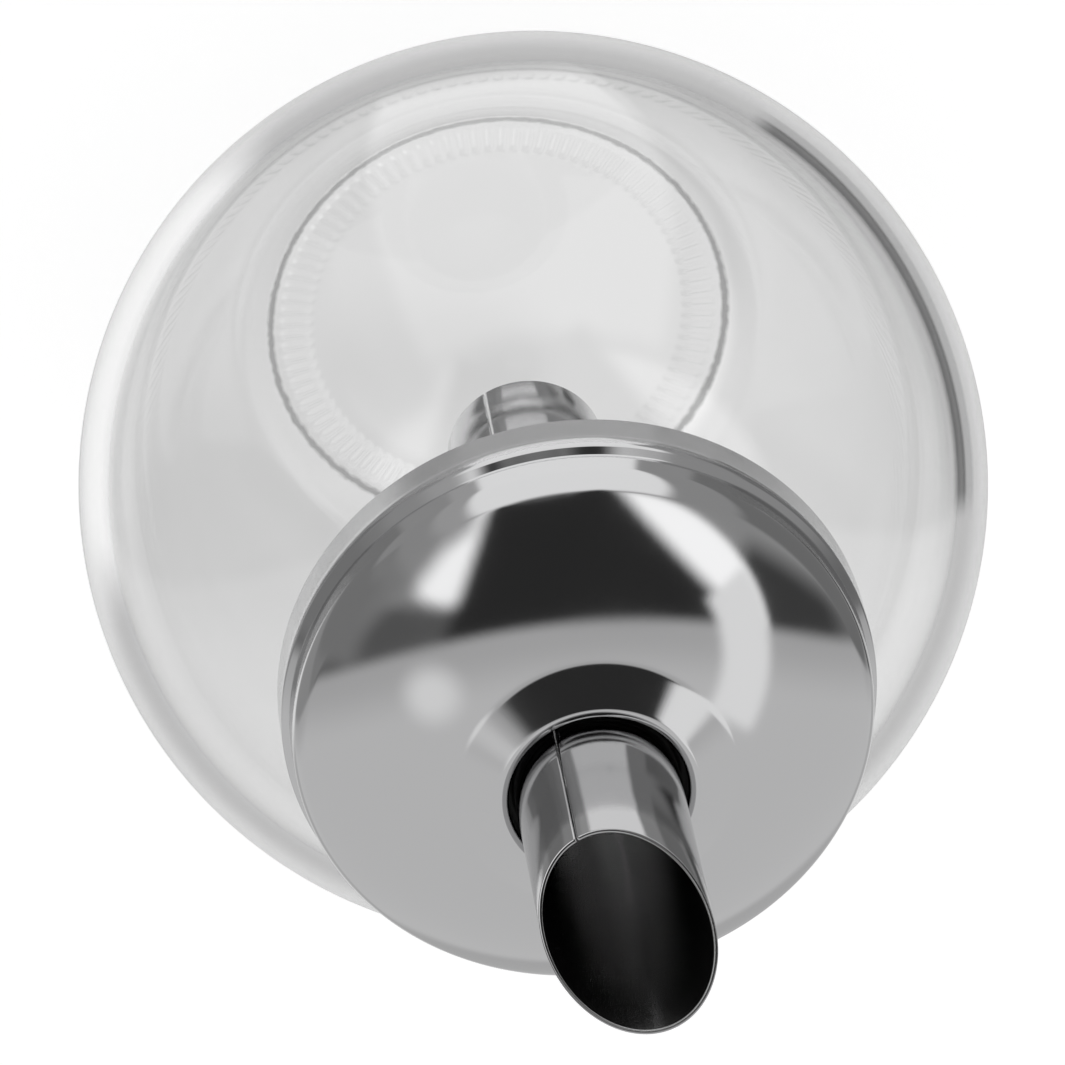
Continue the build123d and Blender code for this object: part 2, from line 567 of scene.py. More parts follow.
def rounded(points: Sequence[Point], radii: Sequence[float], steps: int = 4) -> list[Point]:
    """Round the corners of a closed outline.

    Args:
        points: The outline's corners, in order.
        radii: One radius for each corner, 0 for a sharp one.
        steps: Number of parts in each rounded corner.

    Returns:
        The outline's points.
    """
    result: list[Point] = []
    for i, (corner, radius) in enumerate(zip(points, radii)):
        if radius <= 0:
            result.append(corner)
            continue
        here = Vector(corner)
        before = (Vector(points[i - 1]) - here).normalized()
        after = (Vector(points[(i + 1) % len(points)]) - here).normalized()
        half = acos(max(-1.0, min(1.0, before.dot(after)))) / 2
        reach = radius / tan(half)
        middle = here + (before + after).normalized() * (radius / sin(half))
        first = here + before * reach - middle
        last = here + after * reach - middle
        start = atan2(first.y, first.x)
        end = atan2(last.y, last.x)
        if end - start > pi:
            end -= 2 * pi
        if start - end > pi:
            end += 2 * pi
        result += arc((middle.x, middle.y), radius, start, end, steps)
    return result


def new_object(
    name: str, verts: Sequence[Sequence[float]], faces: Sequence[Sequence[int]]
) -> Piece:
    """Make a smooth closed mesh object with its faces outward.

    Args:
        name: The piece's name.
        verts: Points in metres.
        faces: Faces as point numbers.

    Returns:
        The new object.
    """
    mesh = bpy.data.meshes.new(name)
    mesh.from_pydata(verts, [], faces)
    form = bmesh.new()
    form.from_mesh(mesh)
    bmesh.ops.remove_doubles(form, verts=form.verts, dist=1e-8)
    bmesh.ops.recalc_face_normals(form, faces=form.faces)
    form.to_mesh(mesh)
    form.free()
    mesh.polygons.foreach_set("use_smooth", [True] * len(mesh.polygons))
    mesh.update()
    piece = bpy.data.objects.new(name, mesh)
    bpy.context.scene.collection.objects.link(piece)
    return piece


def lathe(name: str, profile: Sequence[Point], segments: int) -> Piece:
    """Turn a profile about the Z axis.

    Args:
        name: The piece's name.
        profile: Radius and height in millimetres. It starts and ends on the axis, or it is
            taken as a closed ring.
        segments: Number of steps round the axis.

    Returns:
        The turned piece.
    """
    on_axis = profile[0][0] < 1e-6 and profile[-1][0] < 1e-6
    ring = profile[1:-1] if on_axis else profile
    rows = len(ring)
    turns = [(cos(2 * pi * k / segments), sin(2 * pi * k / segments)) for k in range(segments)]
    verts = [(r * c * MM, r * s * MM, z * MM) for r, z in ring for c, s in turns]
    steps = [(k, (k + 1) % segments) for k in range(segments)]
    faces: list[tuple[int, ...]] = []
    for i in range(rows - 1 if on_axis else rows):
        a, b = i * segments, ((i + 1) % rows) * segments
        faces += [(a + k, a + n, b + n, b + k) for k, n in steps]
    if on_axis:
        first, last, end = len(verts), len(verts) + 1, (rows - 1) * segments
        verts += [(0, 0, profile[0][1] * MM), (0, 0, profile[-1][1] * MM)]
        for k, n in steps:
            faces += [(first, n, k), (last, end + k, end + n)]
    return new_object(name, verts, faces)


def baked(piece: Piece, tree: Tree, values: dict[str, Any]) -> None:
    """Run a geometry tree on a piece and keep the result as its plain mesh.

    Args:
        piece: The piece.
        tree: The geometry tree.
        values: The tree's named inputs.
    """
    modifier = piece.modifiers.new("form", "NODES")
    modifier.node_group = tree
    sockets = {s.name: s.identifier for s in tree.interface.items_tree if s.in_out == "INPUT"}
    for name, value in values.items():
        modifier[sockets[name]] = value
    bpy.context.view_layer.update()
    graph = bpy.context.evaluated_depsgraph_get()
    mesh = bpy.data.meshes.new_from_object(piece.evaluated_get(graph))
    mesh.name = piece.name
    piece.modifiers.remove(modifier)
    piece.data = mesh
    mesh.polygons.foreach_set("use_smooth", [True] * len(mesh.polygons))


def screw_tree(name: str) -> Tree:
    """Build the geometry tree that raises a helical ridge on a turned surface.

    Args:
        name: The tree's name.

    Returns:
        The tree. It works outward from the axis, so on a bore the ridge is a groove.
    """
    crest_share = 0.45
    sizes = ("Pitch", "Height", "Width", "Start", "End", "Inner", "Outer", "Fade")
    takes = {"Geometry": GEOMETRY, **dict.fromkeys(sizes, 0.0), "Material": MATERIAL}
    nodes = new_group(name, "GeometryNodeTree", takes, {"Geometry": GEOMETRY})
    given = nodes.add("NodeGroupInput").outputs
    parts, flat, radius = nodes.axial(nodes.add("GeometryNodeInputPosition").outputs[0])
    outward = nodes.vector("NORMALIZE", flat)[0]
    turn = nodes.math("DIVIDE", nodes.math("ARCTAN2", parts["Y"], parts["X"]), 2 * pi)
    climb = nodes.math("DIVIDE", nodes.math("SUBTRACT", parts["Z"], given["Start"]), given["Pitch"])
    phase = nodes.math("SUBTRACT", climb, turn)
    nearest = nodes.math("ROUND", phase)
    off = nodes.math("ABSOLUTE", nodes.math("SUBTRACT", phase, nearest))
    off = nodes.product(off, given["Pitch"])
    half = nodes.product(given["Width"], 0.5)
    ridge = nodes.ramp(off, nodes.product(half, crest_share), half, FALLING)
    turns = nodes.math("ADD", nearest, turn)
    middle = nodes.math("MULTIPLY_ADD", turns, given["Pitch"], given["Start"])
    grown = nodes.math("ADD", given["Start"], given["Fade"])
    shrunk = nodes.math("SUBTRACT", given["End"], given["Fade"])
    lead_in = nodes.ramp(middle, given["Start"], grown)
    lead_out = nodes.ramp(middle, shrunk, given["End"], FALLING)
    inside = nodes.math("GREATER_THAN", radius, given["Inner"])
    outside = nodes.math("LESS_THAN", radius, given["Outer"])
    amount = nodes.product(ridge, lead_in, lead_out, inside, outside, given["Height"])
    finish_tree(nodes, given, nodes.scaled(outward, amount))
    return nodes.tree


def groove_tree(name: str) -> Tree:
    """Build the geometry tree that presses a ring of short radial grooves into a base.

    Args:
        name: The tree's name.

    Returns:
        The tree.
    """
    sizes = ("Count", "Depth", "Inner", "Outer", "Soft", "Ceiling")
    takes = {"Geometry": GEOMETRY, **dict.fromkeys(sizes, 0.0), "Material": MATERIAL}
    nodes = new_group(name, "GeometryNodeTree", takes, {"Geometry": GEOMETRY})
    given = nodes.add("NodeGroupInput").outputs
    parts, _, radius = nodes.axial(nodes.add("GeometryNodeInputPosition").outputs[0])
    angle = nodes.math("ARCTAN2", parts["Y"], parts["X"])
    wave = nodes.math("COSINE", nodes.product(angle, given["Count"]))
    swing = nodes.math("MULTIPLY_ADD", wave, 0.5, 0.5)
    grown = nodes.math("ADD", given["Inner"], given["Soft"])
    shrunk = nodes.math("SUBTRACT", given["Outer"], given["Soft"])
    start = nodes.ramp(radius, given["Inner"], grown)
    stop = nodes.ramp(radius, shrunk, given["Outer"], FALLING)
    under = nodes.math("LESS_THAN", parts["Z"], given["Ceiling"])
    lift = nodes.product(swing, start, stop, under, given["Depth"])
    finish_tree(nodes, given, nodes.add("ShaderNodeCombineXYZ", {"Z": lift}).outputs[0])
    return nodes.tree


def finish_tree(nodes: Nodes, given: Any, offset: Socket) -> None:
    """End a geometry tree: move its points, and keep real meshes with their material.

    Args:
        nodes: The tree's helper.
        given: The tree's inputs, with Geometry and Material.
        offset: How far each point moves.
    """
    moved = nodes.add("GeometryNodeSetPosition", {"Geometry": given["Geometry"], "Offset": offset})
    real = nodes.add("GeometryNodeRealizeInstances", {"Geometry": moved.outputs[0]})
    inputs = {"Geometry": real.outputs[0], "Material": given["Material"]}
    dressed = nodes.add("GeometryNodeSetMaterial", inputs)
    nodes.add("NodeGroupOutput", {"Geometry": dressed.outputs[0]})


@dataclass
class Thread:
    """The screw thread that the neck and the insert share, in millimetres."""

    pitch: float = 4.0
    height: float = 1.0
    width: float = 2.1
    start: float = 76.6
    end: float = 84.2
    play: float = 0.3
    catch: float = 0.02

    def cut(self, piece: Piece, radius: float, inner: bool, finish: Material) -> None:
        """Raise the ridge on a neck, or sink the matching groove in a bore.

        Args:
            piece: The turned piece.
            radius: The surface's radius, which picks the points to move.
            inner: Whether the surface is a bore, whose groove is wider by the play.
            finish: The piece's material.
        """
        extra = self.play if inner else 0.0
        overrun = self.pitch if inner else 0.0
        sizes = {
            "Pitch": self.pitch,
            "Height": self.height,
            "Width": self.width + 2 * extra,
            "Start": self.start - overrun,
            "End": self.end + overrun,
            "Inner": radius - self.catch,
            "Outer": radius + self.catch,
            "Fade": self.width / 2,
        }
        metres = {name: size * MM for name, size in sizes.items()}
        baked(piece, shared("screw_ridge", screw_tree), {**metres, "Material": finish})


def settle(piece: Piece, body: Body, node: str) -> None:
    """Let a finished piece stand for a CAD node on its body.

    Args:
        piece: The piece.
        body: The body that carries it.
        node: The CAD node that it stands for.
    """
    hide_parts(node)
    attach(piece, body.value)
    LOG.info("%s: %d faces for %s on %s", piece.name, len(piece.data.polygons), node, body.value)


def dress(piece: Piece, *finishes: Material) -> Piece:
    """Give a piece its materials.

    Args:
        piece: The piece.
        *finishes: The materials, in order.

    Returns:
        The piece.
    """
    for finish in finishes:
        piece.data.materials.append(finish)
    return piece


# Pieces


@dataclass
class GlassJar:
    """Blown ball with a pressed base and a screw neck, in millimetres."""

    ball_radius: float = 46.0
    ball_height: float = BALL_HEIGHT
    side_wall: float = 3.0
    floor_thickness: float = 4.6
    floor_corner_round: float = 7.0
    heel_round: float = 2.5
    neck_root: float = 25.9
    neck_bore: float = 23.4
    neck_height: float = 46.2
    shoulder_round: float = 1.7
    inside_round: float = 4.0
    rim_round: float = 0.6
    push_up_radius: float = 19.6
    push_up_rise: float = 1.4
    groove_count: int = 96
    groove_inner: float = 20.4
    groove_length: float = 3.3
    groove_depth: float = 0.25
    groove_soft: float = 0.5
    groove_ceiling: float = 0.3
    segments: int = 384

    @property
    def rim(self) -> float:
        """Height of the glass rim."""
        return self.ball_height + self.neck_height

    @property
    def groove_outer(self) -> float:
        """Radius at which the grooves end."""
        return self.groove_inner + self.groove_length

    def profile(self) -> list[Point]:
        """Draw the wall from the middle of the underside, over the rim, to the floor's middle.

        Returns:
            The profile's points.
        """
        ball, high = self.ball_radius, self.ball_height
        inner = ball - self.side_wall
        bow = (self.push_up_radius**2 + self.push_up_rise**2) / (2 * self.push_up_rise)
        bow_centre = (0.0, self.push_up_rise - bow)
        bow_end = atan2(-bow_centre[1], self.push_up_radius)
        under = arc(bow_centre, bow, pi / 2, bow_end, 14)

        heel = self.heel_round
        heel_centre = (sqrt((ball - heel) ** 2 - (high - heel) ** 2), heel)
        heel_end = atan2(heel - high, heel_centre[0])
        land = joined(
            straight((self.push_up_radius, 0.0), (self.groove_inner, 0.0), 1),
            straight((self.groove_inner, 0.0), (self.groove_outer, 0.0), 10),
            straight((self.groove_outer, 0.0), (heel_centre[0], 0.0), 1),
        )
        heel_arc = arc(heel_centre, heel, -pi / 2, heel_end, 6)

        shoulder = self.shoulder_round
        shoulder_r = self.neck_root + shoulder
        shoulder_z = high + sqrt((ball + shoulder) ** 2 - shoulder_r**2)
        shoulder_from = atan2(shoulder_z - high, shoulder_r)
        belly = arc((0.0, high), ball, heel_end, shoulder_from, 64)
        into_neck = arc((shoulder_r, shoulder_z), shoulder, shoulder_from + pi, pi, 5)

        lip = self.rim_round
        lip_z = self.rim - lip
        neck = straight((self.neck_root, shoulder_z), (self.neck_root, lip_z), 30)
        over = joined(
            arc((self.neck_root - lip, lip_z), lip, 0, pi / 2, 4),
            arc((self.neck_bore + lip, lip_z), lip, pi / 2, pi, 4),
        )
        inside = self.inside_round
        inside_r = self.neck_bore + inside
        inside_z = high + sqrt((inner + inside) ** 2 - inside_r**2)
        inside_to = atan2(inside_z - high, inside_r)
        mouth = straight((self.neck_bore, lip_z), (self.neck_bore, inside_z), 4)
        flare = arc((inside_r, inside_z), inside, pi, inside_to + pi, 6)

        corner = self.floor_corner_round
        floor = self.floor_thickness
        corner_z = floor + corner
        corner_r = sqrt((inner - corner) ** 2 - (high - corner_z) ** 2)
        corner_from = atan2(corner_z - high, corner_r)
        hollow = arc((0.0, high), inner, inside_to, corner_from, 60)
        bend = arc((corner_r, corner_z), corner, corner_from, -pi / 2, 8)
        flat = straight((corner_r, floor), (0.0, floor), 6)
        outside = joined(under, land, heel_arc, belly, into_neck, neck)
        return joined(outside, over, mouth, flare, hollow, bend, flat)

    def build(self, finish: Material, thread: Thread) -> None:
        """Make the jar with its thread and its ring of grooves.

        Args:
            finish: The glass.
            thread: The thread on the neck.
        """
        jar = lathe("jar_glass", self.profile(), self.segments)
        thread.cut(jar, self.neck_root, False, finish)
        grooves = {
            "Count": float(self.groove_count),
            "Depth": self.groove_depth * MM,
            "Inner": self.groove_inner * MM,
            "Outer": self.groove_outer * MM,
            "Soft": self.groove_soft * MM,
            "Ceiling": self.groove_ceiling * MM,
            "Material": finish,
        }
        baked(jar, shared("groove_ring", groove_tree), grooves)
        settle(jar, Body.JAR, "glass_jar")


@dataclass
class SteelCap:
    """Deep-drawn cap: skirt, ledge, upright band, rounded rim, crown, flare and turned-in lip."""

    sheet: float = 0.5
    skirt_radius: float = 29.0
    skirt_bottom: float = 76.9
    skirt_height: float = 4.9
    ledge_slope: float = 45.0
    band_radius: float = 28.25
    band_height: float = 2.4
    rim_round: float = 4.0
    rim_slope: float = 46.0
    saddle_slope: float = 19.5
    flare_round: float = 3.5
    flare_slope: float = 32.0
    cone_run: float = 3.85
    lip_round: float = 0.85
    hem_length: float = 1.6
    collar_bore: float = 8.6
    edge_round: float = 0.5
    corner_round: float = 0.3
    segments: int = 288

    @property
    def rim_bottom(self) -> float:
        """Height at which the upright band turns into the rounded rim."""
        ledge_rise = (self.skirt_radius - self.band_radius) * tan(radians(self.ledge_slope))
        return self.skirt_bottom + self.skirt_height + ledge_rise + self.band_height

    @property
    def crown_radius(self) -> float:
        """Radius of the crown's arc, which makes the lip land on the collar bore."""
        rim, saddle = sin(radians(self.rim_slope)), sin(radians(self.saddle_slope))
        flare = radians(self.flare_slope)
        rim_in = self.rim_round * (1 - rim)
        flare_in = self.flare_round * (sin(flare) - saddle)
        cone_in = self.cone_run * cos(flare)
        lip_in = self.lip_round * (1 + sin(flare))
        span = self.band_radius - rim_in - flare_in - cone_in - lip_in - self.collar_bore
        return span / (rim - saddle)

    def ledge(self, inset: float) -> list[Point]:
        """Place the corners of the sloped ledge between skirt and band.

        Args:
            inset: Distance of the drawn side from the cap's outside.

        Returns:
            The ledge's lower and upper corner.
        """
        drop = inset * tan(radians((90 - self.ledge_slope) / 2))
        return [
            (self.skirt_radius - inset, self.skirt_bottom + self.skirt_height - drop),
            (self.band_radius - inset, self.rim_bottom - self.band_height - drop),
        ]

    def wall(self, inset: float) -> list[Point]:
        """Draw one side of the sheet from the skirt's edge to the end of the hem.

        Args:
            inset: 0 for the outside, or the sheet's thickness for the inside.

        Returns:
            The line's points.
        """
        corners = [
            (self.skirt_radius - inset, self.skirt_bottom),
            *self.ledge(inset),
            (self.band_radius - inset, self.rim_bottom),
        ]
        soft = 0.0 if inset else 1.0
        radii = [0, self.edge_round * soft, self.corner_round * soft, 0]
        skirt = rounded(corners, radii, 6)[:-1]
        pen = Pen(corners[-1], 90.0)
        pen.turn(self.rim_round - inset, 90 - self.rim_slope, 22)
        pen.turn(self.crown_radius - inset, self.rim_slope - self.saddle_slope, 40)
        pen.turn(self.flare_round + inset, self.saddle_slope - self.flare_slope, 10)
        pen.go(self.cone_run, 16)
        pen.turn(self.lip_round - inset, 90 + self.flare_slope, 24)
        pen.go(self.hem_length, 3)
        return joined(skirt, pen.points)

    def build(self, finish: Material) -> None:
        """Make the cap.

        Args:
            finish: The polished steel.
        """
        outline = self.wall(0.0) + self.wall(self.sheet)[::-1]
        cap = lathe("cap_steel", outline, self.segments)
        settle(dress(cap, finish), Body.CAP, "cap_shell")


@dataclass
class PourTube:
    """Rolled tube with an open butt seam and a mouth cut off at a slant."""

    radius: float = 8.0
    wall: float = 0.4
    lower_end: float = 31.0
    mouth_middle: float = 122.2
    mouth_slope: float = 37.0
    seam_gap: float = 0.2
    seam_flat: float = 0.015
    seam_reach: float = 12.0
    edge_round: float = 0.1
    segments: int = 256
    rows: int = 12

    def section(self, angle: float) -> list[Point]:
        """The wall's closed outline at one angle round the tube.

        Args:
            angle: Angle about the axis, in radians.

        Returns:
            Radius and height of each point.
        """
        from_seam = min(abs(angle + pi / 2), abs(angle - 3 * pi / 2))
        dip = self.seam_flat * max(0.0, 1 - degrees(from_seam) / self.seam_reach) ** 2
        outer, inner = self.radius - dip, self.radius - self.wall - dip
        slope = tan(radians(self.mouth_slope)) * sin(angle)
        corners = [
            (outer, self.lower_end),
            (outer, self.mouth_middle + outer * slope),
            (inner, self.mouth_middle + inner * slope),
            (inner, self.lower_end),
        ]
        outline = rounded(corners, [self.edge_round] * 4, 3)
        quarter = len(outline) // 4
        low_out, high_out = outline[quarter - 1], outline[quarter]
        high_in, low_in = outline[3 * quarter - 1], outline[3 * quarter]
        return joined(
            outline[:quarter],
            straight(low_out, high_out, self.rows),
            outline[quarter : 3 * quarter],
            straight(high_in, low_in, self.rows),
            outline[3 * quarter :],
        )

    def build(self, outside: Material, inside: Material) -> None:
        """Make the tube.

        Args:
            outside: The polished steel outside, painted a darker grey than the cap's steel for the
                darker reflections the tube shows.
            inside: The rougher rolled steel of the bore, painted a darker grey for the shade down
                the bore.
        """
        gap = self.seam_gap / 2 / self.radius
        first, last = -pi / 2 + gap, 3 * pi / 2 - gap
        angles = [first + (last - first) * k / self.segments for k in range(self.segments + 1)]
        sections = [self.section(a) for a in angles]
        count = len(sections[0])
        verts = [
            (r * cos(a) * MM, r * sin(a) * MM, z * MM)
            for a, ring in zip(angles, sections)
            for r, z in ring
        ]
        faces: list[tuple[int, ...]] = []
        for k in range(self.segments):
            a, b = k * count, (k + 1) * count
            steps = [(i, (i + 1) % count) for i in range(count)]
            faces += [(a + i, a + n, b + n, b + i) for i, n in steps]
        end = self.segments * count
        faces.append(tuple(range(count)))
        faces.append(tuple(range(end + count - 1, end - 1, -1)))
        tube = dress(new_object("pour_tube_steel", verts, faces), outside, inside)
        limit = (self.radius - self.wall / 2) * MM
        # The inner faces take the rougher bore steel, whose darker grey is painted shade.
        for face in tube.data.polygons:
            middle = face.center.xy
            if middle.length < limit and face.normal.xy.dot(middle) < 0:
                face.material_index = 1
        settle(tube, Body.CAP, "pour_tube")


@dataclass
class ScrewInsert:
    """Moulded insert that lines the cap, with its thread, web and boss."""

    bore: float = 26.05
    bottom: float = 77.5
    fit: float = 0.05
    nest_turn: float = 40.0
    web_bottom: float = 86.1
    web_top: float = 87.6
    boss_inner: float = 9.42
    boss_outer: float = 10.9
    boss_top: float = 94.4
    edge_round: float = 0.3
    inner_rounds: tuple[float, ...] = (0.0, 0.4, 0.3, 0.2, 0.2, 0.2)
    thread_rows: int = 34
    segments: int = 288

    def build(self, finish: Material, cap: SteelCap, thread: Thread) -> None:
        """Make the insert.

        Args:
            finish: The moulded plastic.
            cap: The cap that it lines.
            thread: The thread that it shares with the neck.
        """
        gap = cap.sheet + self.fit
        nest_round = cap.rim_round - gap
        band_top = (cap.band_radius - gap, cap.rim_bottom)
        nest = Pen(band_top, 90.0).turn(nest_round, self.nest_turn, 8)
        soft = self.edge_round
        wall = rounded(
            [
                (self.bore, self.bottom),
                (cap.skirt_radius - gap, self.bottom),
                *cap.ledge(gap),
                band_top,
            ],
            [soft, soft, 0, 0, 0],
        )
        inner = rounded(
            [
                (cap.band_radius - cap.rim_round + nest_round / 2, self.web_top),
                (self.boss_outer, self.web_top),
                (self.boss_outer, self.boss_top),
                (self.boss_inner, self.boss_top),
                (self.boss_inner, self.web_bottom),
                (self.bore, self.web_bottom),
            ],
            self.inner_rounds,
        )
        bore = straight(inner[-1], (self.bore, self.bottom + soft), self.thread_rows)
        profile = joined(wall, nest.points, inner, bore)[:-1]
        insert = lathe("insert_moulded", profile, self.segments)
        thread.cut(insert, self.bore, True, finish)
        settle(insert, Body.CAP, "cap_insert")


@dataclass
class RubberParts:
    """The flat seal on the glass rim and the sleeve that grips the tube."""

    seal_inner: float = 23.6
    seal_outer: float = 26.3
    seal_bottom: float = 84.8
    seal_thickness: float = 1.3
    seal_edge_round: float = 0.3
    sleeve_inner: float = 8.02
    sleeve_outer: float = 9.4
    sleeve_top: float = 95.8
    flange_radius: float = 12.0
    flange_bottom: float = 84.6
    flange_top: float = 86.1
    sleeve_rounds: tuple[float, ...] = (0.3, 0.5, 0.4, 0.1, 0.4, 0.4)
    segments: int = 192

    def build(self, finish: Material) -> None:
        """Make the two rubber pieces.

        Args:
            finish: The rubber.
        """
        low, high = self.seal_bottom, self.seal_bottom + self.seal_thickness
        seal = [
            (self.seal_inner, low),
            (self.seal_outer, low),
            (self.seal_outer, high),
            (self.seal_inner, high),
        ]
        sleeve = [
            (self.sleeve_inner, self.flange_bottom),
            (self.flange_radius, self.flange_bottom),
            (self.flange_radius, self.flange_top),
            (self.sleeve_outer, self.flange_top),
            (self.sleeve_outer, self.sleeve_top),
            (self.sleeve_inner, self.sleeve_top),
        ]
        for name, corners, radii, body, node in (
            ("seal_ring", seal, [self.seal_edge_round] * 4, Body.SEAL, "jar_seal"),
            ("sleeve_rubber", sleeve, self.sleeve_rounds, Body.CAP, "tube_sleeve"),
        ):
            ring = lathe(name, rounded(corners, radii), self.segments)
            settle(dress(ring, finish), body, node)


# Studio


@dataclass(frozen=True)
class SoftShape:
    """A soft-edged disc or part of a ring, drawn on a plan of the surroundings.

    A plan is measured in degrees from its middle. Facing and spread pick the part of the ring,
    in degrees from the plan's first axis, and an inner radius below zero makes it a disc.
    """

    centre: Point
    inner: float
    outer: float
    level: float
    facing: float = 0.0
    spread: float = 190.0
    edge: float = 2.0


def shape_group(name: str) -> Tree:
    """Build the shader group that marks a disc or part of a ring on the plan.

    Args:
        name: The group's name.

    Returns:
        A group that takes a plan position, the ring's sizes and directions, and gives Mask.
    """
    radian, below_one, least_reach, least_arm = 57.3, 0.99999, 0.01, 1.0
    vectors = dict.fromkeys(("Plan", "Centre", "Toward"), VECTOR)
    takes = {**vectors, "Inner": 0.0, "Outer": 10.0, "Spread": 190.0, "Edge": 2.0}
    nodes = new_group(name, "ShaderNodeTree", takes, {"Mask": FLOAT})
    given = nodes.add("NodeGroupInput").outputs
    offset = nodes.vector("SUBTRACT", given["Plan"], given["Centre"])[0]
    reach = nodes.vector("LENGTH", offset)["Value"]
    aim = nodes.vector("DOT_PRODUCT", offset, given["Toward"])["Value"]
    cosine = nodes.math("DIVIDE", aim, nodes.math("MAXIMUM", reach, least_reach))
    apart = nodes.math("DEGREES", nodes.math("ARCCOSINE", nodes.product(cosine, below_one)))
    edge, arm = given["Edge"], nodes.math("MAXIMUM", reach, least_arm)
    slack = nodes.math("DIVIDE", nodes.product(edge, radian), arm)
    within = nodes.soft_limit(reach, given["Outer"], edge, FALLING)
    beyond = nodes.soft_limit(reach, given["Inner"], edge, RISING)
    sector = nodes.soft_limit(apart, given["Spread"], slack, FALLING)
    nodes.add("NodeGroupOutput", {"Mask": nodes.product(within, beyond, sector)})
    return nodes.tree


@dataclass
class Studio:
    """Pale floor and the soft surroundings that the steel and the glass show.

    The first plan lies round the point overhead. Its second axis points to the side from which
    the photograph was taken, and its first one to the right of that. The second plan lies round
    the photograph's line of sight, behind the object.
    """

    photo_azimuth: float = PHOTO_AZIMUTH
    side_level: float = 0.35
    floor_colour: float = 0.8
    floor_fill: float = 0.6
    floor_size: float = 6.0
    overhead: list[SoftShape] = field(
        default_factory=lambda: [
            SoftShape((-170.0, -139.7), 232.0, 277.6, 1.38, 44.0, 4.8, 4.5),
            SoftShape((45.0, -320.0), 200.0, 351.0, 0.12, 88.9, 6.3, 4.0),
            SoftShape((-130.0, -170.0), 272.0, 324.2, 0.28, 43.0, 7.0, 4.5),
            SoftShape((33.5, -50.8), 90.0, 122.0, 0.06, 181.6, 38.9, 5.0),
            SoftShape((-7.8, 10.1), 31.9, 52.2, 1.43, 148.2, 54.5, 2.0),
            SoftShape((0.0, 0.0), 68.7, 160.0, 1.05, 99.3, 32.0, 4.5),
            SoftShape((0.0, 0.0), 60.0, 160.0, 0.45, 63.0, 6.0, 5.0),
            SoftShape((0.0, 0.0), 66.0, 160.0, 0.24, 20.0, 14.0, 5.0),
            SoftShape((0.0, 0.0), 84.5, 160.0, 0.21, 183.8, 29.6, 6.0),
            SoftShape((-5.7, 112.0), 49.0, 140.0, 0.03, 270.7, 23.6, 3.5),
            SoftShape((13.2, -88.7), -10.0, 110.2, 0.54, edge=2.8),
            SoftShape((13.2, -96.0), -10.0, 104.0, 0.69, edge=9.0),
            SoftShape((-11.6, 7.9), 31.8, 47.9, 1.04, 200.5, 32.1, 2.5),
            SoftShape((39.8, 3.0), -10.0, 8.0, 0.95, 0.0, 600.0, 5.0),
        ]
    )
    beyond: list[SoftShape] = field(
        default_factory=lambda: [
            SoftShape((0.0, 0.0), -10.0, 42.0, 0.52, edge=3.0),
            SoftShape((0.0, 0.0), 32.5, 41.0, 0.1, 28.0, 30.0, 1.5),
            SoftShape((0.0, 0.0), -10.0, 23.0, 0.77, edge=8.0),
            SoftShape((0.0, 0.0), 13.0, 41.0, 0.95, 162.0, 30.0, 4.0),
        ]
    )

    def plan(self, nodes: Nodes, axis: Vector, right: Vector, rise: Vector) -> Socket:
        """Turn a direction into its place on a plan round an axis.

        Args:
            nodes: The world's tree.
            axis: Direction of the plan's middle.
            right: Direction of the plan's first axis.
            rise: Direction of the plan's second axis.

        Returns:
            The place, in degrees from the plan's middle.
        """
        below_one = 0.999999
        way = nodes.add("ShaderNodeTexCoord").outputs["Generated"]
        along, x, y = (
            nodes.vector("DOT_PRODUCT", way, tuple(v))["Value"] for v in (axis, right, rise)
        )
        angle = nodes.math("DEGREES", nodes.math("ARCCOSINE", nodes.product(along, below_one)))
        flat = nodes.add("ShaderNodeCombineXYZ", {"X": x, "Y": y}).outputs[0]
        return nodes.scaled(nodes.vector("NORMALIZE", flat)[0], angle)

    def drawn(self, nodes: Nodes, place: Socket, shapes: Sequence[SoftShape], level: Any) -> Any:
        """Draw shapes over a level, one after the other.

        Args:
            nodes: The world's tree.
            place: The place on the plan.
            shapes: The shapes of that plan.
            level: The level under them.

        Returns:
            The level with the shapes.
        """
        for shape in shapes:
            aim = radians(shape.facing)
            inputs = {
                "Plan": place,
                "Centre": (*shape.centre, 0.0),
                "Toward": (cos(aim), sin(aim), 0.0),
                "Inner": shape.inner,
                "Outer": shape.outer,
                "Spread": shape.spread,
                "Edge": shape.edge,
            }
            tree = shared("soft_shape", shape_group)
            mask = nodes.add("ShaderNodeGroup", inputs, node_tree=tree)
            level = nodes.mix(mask.outputs[0], level, shape.level)
        return level

    def light(self, camera: Piece) -> None:
        """Fill the world with the soft surroundings, and show the camera plain white.

        Args:
            camera: The photograph's camera, whose line of sight the second plan lies round.
        """
        world = bpy.data.worlds.new("studio")
        bpy.context.scene.world = world
        world.use_nodes = True
        world.node_tree.nodes.clear()
        nodes = Nodes(world.node_tree)
        a = radians(self.photo_azimuth)
        across, toward = Vector((cos(a), sin(a), 0)), Vector((sin(a), -cos(a), 0))
        above = self.plan(nodes, Vector((0, 0, 1)), across, toward)
        level = self.drawn(nodes, above, self.overhead, self.side_level)
        right, rise, back = (column.normalized() for column in camera.matrix_world.to_3x3().col)
        level = self.drawn(nodes, self.plan(nodes, -back, right, rise), self.beyond, level)
        seen = nodes.add("ShaderNodeLightPath").outputs["Is Camera Ray"]
        shown = nodes.mix(seen, level, 1.0)
        backdrop = nodes.add("ShaderNodeBackground", {"Color": WHITE, "Strength": shown})
        nodes.add("ShaderNodeOutputWorld", {"Surface": backdrop.outputs[0]})

